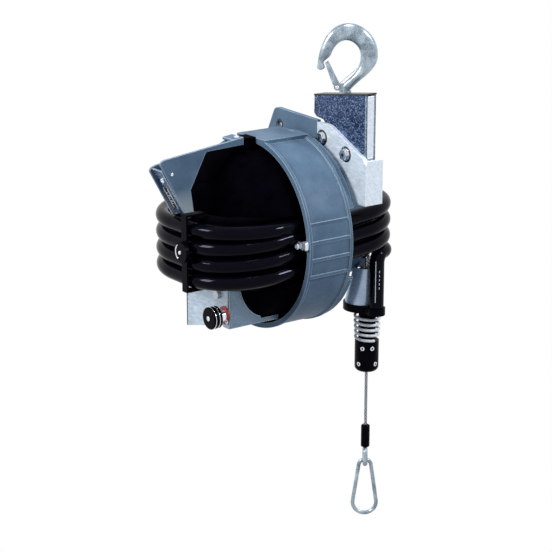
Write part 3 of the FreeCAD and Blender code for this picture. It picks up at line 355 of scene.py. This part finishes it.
COATS = {
    "casting": casting(),
    "arm_casting": casting("arm_casting", True),
    "cover_black": black_plastic("cover_black", (0.4, 0.5), 1.02),
    "pale_sheet": pale_sheet(),
    "bright_sheet": bright_sheet(),
    "blued": blued(),
    "zinc": zinc(),
    "forged_zinc": forged_zinc(),
    "galvanised": galvanised(),
    "black_plastic": black_plastic(),
    "hose_black": hose_black(),
    "white_coat": white_coat(),
    "red_plastic": red_plastic(),
    "chrome": chrome(),
    "steel": steel(),
    # A darker copy of the steel, used as painted shade: the rope's dark strands, the hanger's top, the rings
    # and sockets at the bolts, and the lines on the bracket.
    "shade_steel": steel("shade_steel", 0.12),
    "brass": brass(),
}
COATED = {
    "casting": ("cast_ring", "back_frame", "drum_housing"),
    "cover_black": ("front_cover",),
    "pale_sheet": ("lower_bracket",),
    "bright_sheet": ("suspension_plate",),
    "blued": ("rope_guide",),
    "zinc": ("hook_nut", "latch_pin"),
    "forged_zinc": ("crane_hook", "hook_latch", "rope_eye", "carabiner", "carabiner_gate"),
    "black_plastic": (
        "hose_cradle", "hose_keeper", "keeper_cap", "guide_band", "lock_knob", "stop_core", "buffer_block",
        "ferrule",
    ),
    "hose_black": ("hose",),
    "red_plastic": ("lock_ring",),
    "chrome": ("lock_sleeve", "guide_mouth", "suspension_bolts"),
    "steel": (
        "axle", "main_bearing", "rope_drum", "drive_sleeve", "spring_cassette", "mainspring", "spring_arbor",
        "tension_shaft", "lock_pin",
    ),
    "brass": ("arbor_gear",),
}
for coat, nodes in COATED.items():
    for node in nodes:
        mesh = NODES[node].data
        mesh.materials.clear()
        mesh.materials.append(COATS[coat])


# Places and directions
DRUM = Vector((-0.098, -0.092, -0.355))
AZIMUTH, RISE, DISTANCE = math.radians(54), math.radians(15), 3.2
FACING = Vector((math.sin(AZIMUTH), -math.cos(AZIMUTH), 0))
ACROSS = Vector((math.cos(AZIMUTH), math.sin(AZIMUTH), 0))
RIGHT, FRONT, UP = Vector((1, 0, 0)), Vector((0, -1, 0)), Vector((0, 0, 1))


def from_drum(x, y, z):
    """A point in millimetres from the drum's centre, as a place in the frame."""
    return DRUM + Vector((x, y, z)) / 1000


def in_hook(across, up, out=0.0):
    """A point in millimetres in the plane of the hook, which faces the camera."""
    return (ACROSS * across + UP * up + FACING * out) / 1000


# Mesh tools; the angles in degrees are those from which an edge is shaded sharp
SHARP_ANGLE, OTHER_ANGLES = 35, {"buffer_spring": 60, "drum_rope": 180}


def finished(mesh, name, coat, body=None):
    """Makes a bmesh a piece of the object; it rides on its body, if it has just one."""
    data = bpy.data.meshes.new(name)
    bmesh.ops.remove_doubles(mesh, verts=mesh.verts, dist=1e-6)
    bmesh.ops.recalc_face_normals(mesh, faces=mesh.faces)
    mesh.to_mesh(data)
    mesh.free()
    data.materials.append(COATS[coat])
    thing = bpy.data.objects.new(name, data)
    bpy.context.scene.collection.objects.link(thing)
    data.shade_smooth()
    data.set_sharp_from_angle(angle=math.radians(OTHER_ANGLES.get(name, SHARP_ANGLE)))
    if body:
        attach(thing, body)
    return thing


def turned(mesh, outline, spot, axis=UP, steps=40):
    """Revolves an outline of (radius, height) round an axis."""
    seat = axis.to_track_quat("Z", "Y").to_matrix()
    rings = []
    for step in range(steps):
        way = 2 * math.pi * step / steps
        rings.append([
            mesh.verts.new(spot + seat @ Vector((radius * math.cos(way), radius * math.sin(way), height)))
            for radius, height in outline
        ])
    for step, ring in enumerate(rings):
        after = rings[(step + 1) % steps]
        for k in range(len(outline) - 1):
            corners = [ring[k], after[k], after[k + 1], ring[k + 1]]
            if outline[k][0] == 0:
                corners = [ring[k], after[k + 1], ring[k + 1]]
            elif outline[k + 1][0] == 0:
                corners = [ring[k], after[k], ring[k + 1]]
            mesh.faces.new(corners)


def disc(mesh, spot, axis, radius, height, steps):
    """A solid disc that stands on a spot."""
    turned(mesh, [(0, height), (radius, height), (radius, 0), (0, 0)], spot, axis, steps)


def cap_screw(mesh, spot, axis, radius, height, socket=0.5):
    """A round screw head with a rounded rim and a sunk socket."""
    well = radius * socket
    turned(mesh, [
        (0, height * 0.35), (well * 0.9, height * 0.35), (well, height), (radius * 0.82, height),
        (radius, height * 0.72), (radius, 0), (0, 0),
    ], spot, axis, 24)


def bar(mesh, path, radius, sides=8):
    """A round bar along a list of points."""
    rings = []
    side = RIGHT
    for place, point in enumerate(path):
        along = (path[min(place + 1, len(path) - 1)] - path[max(place - 1, 0)]).normalized()
        side = (side - along * side.dot(along)).normalized()
        other = along.cross(side)
        rings.append([
            mesh.verts.new(point + radius * (side * math.cos(way) + other * math.sin(way)))
            for way in (2 * math.pi * k / sides for k in range(sides))
        ])
    for first, second in zip(rings, rings[1:]):
        for k in range(sides):
            mesh.faces.new([first[k], first[(k + 1) % sides], second[(k + 1) % sides], second[k]])
    mesh.faces.new(rings[0][::-1])
    mesh.faces.new(rings[-1])


def block(mesh, spot, sizes, bevel):
    """A box with rounded edges."""
    corners = bmesh.ops.create_cube(mesh, size=1.0)["verts"]
    for corner in corners:
        corner.co = spot + Vector([size * part for size, part in zip(sizes, corner.co)])
    edges = list({edge for corner in corners for edge in corner.link_edges})
    bmesh.ops.bevel(mesh, geom=edges, offset=bevel, segments=3, affect="EDGES")


def plate(mesh, outline, across, start, thick, bevel=0.0006):
    """A flat sheet; its outline lies across X as (y, z) or across Y as (x, z), in millimetres."""
    near, far = [
        [
            mesh.verts.new(from_drum(reach, a, b) if across == "X" else from_drum(a, reach, b))
            for a, b in outline
        ]
        for reach in (start, start + thick)
    ]
    faces = [mesh.faces.new(near[::-1]), mesh.faces.new(far)]
    for k in range(len(outline)):
        after = (k + 1) % len(outline)
        faces.append(mesh.faces.new([near[k], near[after], far[after], far[k]]))
    edges = list({edge for face in faces for edge in face.edges})
    bmesh.ops.bevel(mesh, geom=edges, offset=bevel, segments=2, affect="EDGES")


# Scale arm: two cheeks, and a sunk web with the slotted scale
CHEEK_X, CHEEK_SHEET = 16, 4
NEAR_CHEEK = [
    (-78, 186), (-248, 166), (-254, 163), (-256, 158), (-200, 53), (-186, 56), (-194, 105), (-160, 170),
    (-78, 172),
]
FAR_CHEEK = [
    (-90, 172), (-242, 150), (-252, 147), (-256, 141), (-208, 54), (-186, 56), (-194, 105), (-164, 150),
]
ARM_LUG = [(-78, 186), (-78, 181), (-100, 178.6), (-100, 183.4)]
ARM_BACKING = [(-84, 177), (-150, 168), (-166, 156), (-188, 112), (-150, 112), (-110, 150)]
WEB_TOP, WEB_FOOT = (-255, 143), (-206, 56)
SLOT_START, SLOT_END = 0.42, 0.84


def on_web(share, sunk):
    """A place on the arm's slanting web, by its share of the way down and its depth, as (y, z)."""
    run, fall = WEB_FOOT[0] - WEB_TOP[0], WEB_FOOT[1] - WEB_TOP[1]
    length = math.hypot(run, fall)
    return WEB_TOP[0] + run * share - fall / length * sunk, WEB_TOP[1] + fall * share + run / length * sunk


def web_strip(mesh, start, end, top, foot, left, width, bevel):
    """A strip along the web between two shares of the way down and between two depths."""
    corners = [on_web(start, top), on_web(end, top), on_web(end, foot), on_web(start, foot)]
    plate(mesh, corners, "X", left, width, bevel)


def arm_cheeks(mesh):
    plate(mesh, NEAR_CHEEK, "X", CHEEK_X, CHEEK_SHEET)
    plate(mesh, FAR_CHEEK, "X", -CHEEK_X - CHEEK_SHEET, CHEEK_SHEET)
    plate(mesh, ARM_LUG, "X", -CHEEK_X, CHEEK_X * 2)


def arm_backing(mesh):
    """The dark stay between the arm and the cover."""
    plate(mesh, ARM_BACKING, "X", -10, 24)


def arm_web(mesh):
    web_strip(mesh, 0, 1, 4, 7, -CHEEK_X, CHEEK_X * 2, 0.0006)


def arm_slot(mesh):
    web_strip(mesh, SLOT_START, SLOT_END, 2.4, 4.2, -7, 12, 0.0003)


def arm_marks(mesh):
    """Plain dashes in the slot, long and short by turns, and a raised edge on each side of it."""
    for mark in range(5):
        start = SLOT_START + 0.08 + 0.06 * mark
        web_strip(mesh, start, start + 0.012, 2.1, 2.5, -5, 8 if mark % 2 else 4, 0.00005)
    for left in (-8.2, 5.2):
        web_strip(mesh, SLOT_START - 0.02, SLOT_END + 0.02, 2.0, 4.2, left, 1.2, 0.0002)


def arm_screws(mesh):
    slope = Vector((0, *(b - a for a, b in zip(on_web(0, 0), on_web(0, -1))))).normalized()
    cap_screw(mesh, from_drum(4, *on_web(0.22, 4.2)), slope, 0.005, 0.003)
    cap_screw(mesh, from_drum(20, -232, 138), RIGHT, 0.003, 0.0012)
    cap_screw(mesh, from_drum(12, -88, 185.2), UP, 0.005, 0.003)


# Rope: six strands laid round a core
ROPE_RADIUS, ROPE_LAY, LAY_STEPS = 0.003, 0.020, 16
STRAND_RADIUS, STRAND_ORBIT, CORE_RADIUS = (ROPE_RADIUS * share for share in (0.37, 0.63, 0.4))


def strands(mesh, top, foot):
    """Lays strands round an upright core; every other strand is dark, as painted shade between the strands.
    """
    length = top.z - foot.z
    steps = int(length / ROPE_LAY * LAY_STEPS)
    core = [top - UP * (length * step / steps) for step in range(steps + 1)]
    for number in range(6):
        path = []
        for step, point in enumerate(core):
            way = 2 * math.pi * (number / 6 + step / steps * length / ROPE_LAY)
            path.append(point + Vector((STRAND_ORBIT * math.cos(way), STRAND_ORBIT * math.sin(way), 0)))
        before = len(mesh.faces)
        bar(mesh, path, STRAND_RADIUS, 6)
        for face in list(mesh.faces)[before:]:
            face.material_index = number % 2
    bar(mesh, core, CORE_RADIUS, 6)


def rope(name, node, body=None):
    """Strands in place of a CAD rope; gives the piece and the ends of its line."""
    low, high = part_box(node)
    top, foot = (low + high) / 2, (low + high) / 2
    top.z, foot.z = high.z, low.z
    mesh = bmesh.new()
    strands(mesh, top, foot)
    thing = finished(mesh, name, "steel", body)
    thing.data.materials.append(COATS["shade_steel"])
    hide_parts(node)
    return thing, tuple(top), tuple(foot)


def laid_rope():
    """The rope below the block: a cord of fixed length."""
    thing, top, foot = rope("laid_rope", "rope_tail", "rope_end")


def drum_rope():
    """The rope from the drum to the block, on no body."""
    thing, top, foot = rope("drum_rope", "load_rope")
    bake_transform(thing)


# Block, buffer spring and hose
BLOCK_SCREWS = ((0.40, 0.012), (0.68, 0.044))
SCREW_HEIGHT = 0.0012
COIL_RADIUS, COIL_TAPER, COIL_WIRE, COIL_TURNS, COIL_STEPS = 0.0238, 0.0018, 0.0027, 5, 40
HOSE_END, HOSE_SKIN = (130, 147, 0), 14.1
# The long line is a painted highlight; the dashes are print.
HOSE_HIGHLIGHT_LINE, HOSE_DASHES = (-3, -56, -136), [(4, -74 - 8 * k, -78 - 8 * k) for k in range(5)]


def block_spots():
    """Places and directions of four screws in the face of the block that looks at the camera."""
    low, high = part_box("buffer_block")
    centre, radius = (low + high) / 2, (high.x - low.x) / 2
    for share, drop in BLOCK_SCREWS:
        for side in (-1, 1):
            way = math.asin(share) * side
            out = FACING * math.cos(way) + ACROSS * math.sin(way)
            yield Vector((centre.x, centre.y, high.z - drop)) + out * (radius - 0.0003), out


def block_screws(mesh):
    for spot, out in block_spots():
        cap_screw(mesh, spot, out, 0.0040, SCREW_HEIGHT)


# Black discs that fill the screws' sockets: painted shade in the recesses.
def block_socket_shade(mesh):
    for spot, out in block_spots():
        disc(mesh, spot, out, 0.0020, SCREW_HEIGHT, 6)


def buffer_spring(mesh):
    """The white-coated coil above the block, a little narrower at its foot."""
    low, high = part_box("stop_spring")
    centre = (low + high) / 2
    rise = high.z - low.z - 2 * COIL_WIRE
    steps = COIL_TURNS * COIL_STEPS
    path = []
    for step in range(steps + 1):
        share = step / steps
        way, reach = 2 * math.pi * COIL_TURNS * share, COIL_RADIUS - COIL_TAPER * share
        path.append(Vector((
            centre.x + reach * math.cos(way), centre.y + reach * math.sin(way),
            high.z - COIL_WIRE - rise * share,
        )))
    bar(mesh, path, COIL_WIRE, 12)


def spring_core(mesh):
    low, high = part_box("stop_spring")
    disc(mesh, Vector(((low.x + high.x) / 2, (low.y + high.y) / 2, low.z)), UP, 0.0165, high.z - low.z, 40)


def hose_marks(mesh):
    """Marks down the hose's upright end: one long white line, a painted highlight, and a row of printed
    dashes.
    """
    for across, top, foot in [HOSE_HIGHLIGHT_LINE] + HOSE_DASHES:
        out = FACING * math.sqrt(HOSE_SKIN ** 2 - across ** 2) + ACROSS * across
        spot = from_drum(*HOSE_END) + out / 1000
        bar(mesh, [spot + UP * top / 1000, spot + UP * foot / 1000], 0.0007)


# Hook and ring
def latch_spring(mesh):
    """The thin wire that holds the latch against the hook's tip."""
    bar(mesh, [in_hook(-11, -77, 5), in_hook(2, -66, 4.5), in_hook(21, -50, 3)], 0.0007)


def ring_clip(mesh):
    """The clip that ties the cover to the ring, with its screw."""
    block(mesh, from_drum(171, -50, 12), (0.013, 0.012, 0.015), 0.0015)
    block(mesh, from_drum(160, -54, 11), (0.016, 0.004, 0.013), 0.0010)
    cap_screw(mesh, from_drum(156, -57, 9), FRONT, 0.0055, 0.004, 0.55)


# Hanger: a channel whose top rises to the right
HANGER_MIDDLE, HANGER_HEIGHT, HANGER_SLOPE = 98, 258, 0.146
BOLTS, BOLT_FACE, PLATE_FACE = ((57, 173), (127, 154)), 64, 72
BOLT_RING, HOLE_RING = (10.5, 14.5, PLATE_FACE - 0.1), (7.4, 10.5, PLATE_FACE)
SAFETY_HOLE = (-75, 176)


def below_top(x, drop=0.0):
    """A corner at a distance below the hanger's sloping top, as (x, z)."""
    return x, HANGER_HEIGHT + (x - HANGER_MIDDLE) * HANGER_SLOPE - drop


def hanger_sheets(mesh):
    outline = [
        below_top(22), below_top(172), (172, 122), (166, 116), (100, 116), (66, 188), (50, 205), (28, 207),
        (21, 213),
    ]
    for y in (80, 100.5):
        plate(mesh, outline[::-1], "Y", y, 3.5)


# The hanger's top strip, drawn dark as painted shade on the top plate's front edge.
def hanger_roof(mesh):
    outline = [below_top(21, 2), below_top(21, -1.2), below_top(173, -1.2), below_top(173, 2)]
    plate(mesh, outline, "Y", 79.4, 25.2)


def hanger_side(mesh):
    outline = [(168, 150), below_top(168, 3), (172.5, below_top(172, 4)[1]), (172.5, 146)]
    plate(mesh, outline, "Y", 84.5, 15)


def shade_rings_and_sockets(mesh):
    """Rings under the bolt heads, as washers, and round the hole for the safety rope, with discs in the
    heads' sockets; all drawn dark as painted shade.
    """
    for x, z, inner, outer, face in [(*bolt, *BOLT_RING) for bolt in BOLTS] + [(*SAFETY_HOLE, *HOLE_RING)]:
        inner, outer = inner / 1000, outer / 1000
        turned(mesh, [(inner, 0.0009), (outer, 0.0006), (outer, 0), (inner, 0), (inner, 0.0009)],
               from_drum(x, face, z), FRONT, 40)
    for x, z in BOLTS:
        disc(mesh, from_drum(x, BOLT_FACE, z), FRONT, 0.0036, 0.0004, 6)


# Bracket, knob and keeper details
KNOB_X, KNOB_Z, KNOB_FACE = 71, -122, -192.3
CAP_X, CAP_FACE, GLINT_RADIUS = 40, -230.3, 15
BRACKET_LINES = (
    ((-52.5, -157.2, -137), (30, -157.2, -137), 0.0011),
    ((-52.6, -157.2, -173), (-52.6, -157.2, -73), 0.0009),
    ((82.5, -157.4, -138), (82.5, -157.4, -73), 0.0010),
)


def bracket_lines(mesh):
    """Dark lines along the bracket's seam and down its side edges: painted shade."""
    for start, end, radius in BRACKET_LINES:
        bar(mesh, [from_drum(*start), from_drum(*end)], radius)


def bracket_screws(mesh):
    cap_screw(mesh, from_drum(79, -157, -132), FRONT, 0.0042, 0.003)
    cap_screw(mesh, from_drum(CAP_X, CAP_FACE, 0), FRONT, 0.0034, 0.0026, 0.4)


def cap_glint(mesh):
    """The bright crescent on the hub cap."""
    ways = [math.radians(120 + 10 * k) for k in range(13)]
    bar(mesh, [
        from_drum(CAP_X + GLINT_RADIUS * math.cos(way), CAP_FACE - 0.1, GLINT_RADIUS * math.sin(way))
        for way in ways
    ], 0.0011)


# Chrome rings round the knob stand in for its ring highlights: painted highlights; and the screw in its
# face.
def knob_glint_rings(mesh):
    for y in (-189, -181):
        turned(mesh, [(0.0204, -0.0006), (0.0211, -0.0004), (0.0211, 0.0004), (0.0204, 0.0006)],
               from_drum(KNOB_X, y, KNOB_Z), FRONT, 48)
    cap_screw(mesh, from_drum(KNOB_X, KNOB_FACE, KNOB_Z), FRONT, 0.0046, 0.0018, 0.4)


def build(body, *pieces):
    """Builds a body's pieces; each is (maker, coat, slot, CAD nodes that it stands for); the slot is not
    used.
    """
    for maker, coat, slot, *nodes in pieces:
        mesh = bmesh.new()
        maker(mesh)
        thing = finished(mesh, maker.__name__, coat, body)
        if nodes:
            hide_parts(*nodes)


build(
    "housing",
    (arm_cheeks, "arm_casting", "casting", "scale_arm"),
    (arm_backing, "black_plastic", "black_plastic"),
    (arm_web, "galvanised", "galvanised"),
    (arm_slot, "black_plastic", "black_plastic", "scale_insert"),
    (arm_marks, "zinc", "zinc"),
    (arm_screws, "zinc", "zinc"),
)
laid_rope()
drum_rope()
build(
    "rope_end",
    (block_screws, "zinc", "zinc"),
    (block_socket_shade, "black_plastic", "black_plastic"),
    (buffer_spring, "white_coat", "white_coat", "stop_spring"),
    (spring_core, "black_plastic", "black_plastic"),
)
build("housing", (hose_marks, "white_coat", "white_coat"))
build("hook", (latch_spring, "steel", "zinc"))
build(
    "housing",
    (ring_clip, "zinc", "zinc"),
    (hanger_sheets, "galvanised", "galvanised", "hanger"),
    (hanger_roof, "shade_steel", "galvanised"),
    (hanger_side, "zinc", "zinc", "hanger_spacer"),
    (shade_rings_and_sockets, "shade_steel", "zinc"),
    (bracket_lines, "shade_steel", "zinc"),
    (bracket_screws, "zinc", "zinc"),
    (cap_glint, "chrome", "zinc"),
)
build("lock", (knob_glint_rings, "chrome", "zinc"))


# Studio: white surroundings, three soft lamps and the camera
PITCH, YAW = math.radians(16.6), math.radians(53.87)
LENS, SENSOR = 111.85, 36.0


def surroundings():
    world = bpy.data.worlds.new("studio")
    bpy.context.scene.world = world
    world.use_nodes = True
    nodes, links = world.node_tree.nodes, world.node_tree.links
    light, shown = nodes["Background"], nodes.new("ShaderNodeBackground")
    light.inputs["Color"].default_value = (0.82, 0.88, 1.0, 1)
    light.inputs["Strength"].default_value = 0.45
    shown.inputs["Color"].default_value = (1, 1, 1, 1)
    shown.inputs["Strength"].default_value = 1.0
    path, mix = nodes.new("ShaderNodeLightPath"), nodes.new("ShaderNodeMixShader")
    seen = nodes.new("ShaderNodeMath")
    seen.operation, seen.use_clamp = "ADD", True
    links.new(path.outputs["Is Camera Ray"], seen.inputs[0])
    links.new(path.outputs["Is Glossy Ray"], seen.inputs[1])
    links.new(seen.outputs[0], mix.inputs["Fac"])
    links.new(light.outputs[0], mix.inputs[1])
    links.new(shown.outputs[0], mix.inputs[2])
    links.new(mix.outputs[0], nodes["World Output"].inputs["Surface"])


def lamp(name, spot, size, power, colour=(1, 1, 1)):
    """A square soft lamp that faces the drum."""
    light = bpy.data.lights.new(name, "AREA")
    light.size = size
    light.energy = power
    light.color = colour
    thing = bpy.data.objects.new(name, light)
    thing.location = DRUM + Vector(spot)
    thing.rotation_euler = (-Vector(spot)).to_track_quat("-Z", "Y").to_euler()
    bpy.context.scene.collection.objects.link(thing)


def camera():
    data = bpy.data.cameras.new("camera")
    data.lens, data.sensor_width = LENS, SENSOR
    thing = bpy.data.objects.new("camera", data)
    thing.location = DRUM + DISTANCE * (FACING * math.cos(RISE) + UP * math.sin(RISE))
    thing.rotation_euler = (math.pi / 2 - PITCH, 0, YAW)
    bpy.context.scene.collection.objects.link(thing)
    bpy.context.scene.camera = thing


surroundings()
lamp("key", (-0.4, -2.4, 1.6), 0.8, 70)
lamp("side", (1.75, 1.0, 1.45), 0.35, 30, (0.92, 0.96, 1.0))
lamp("top", (0.5, -0.2, 2.4), 0.5, 24)
camera()
scene = bpy.context.scene
scene.view_settings.view_transform = "Standard"

save_bounds(SIZES, "before_finish")
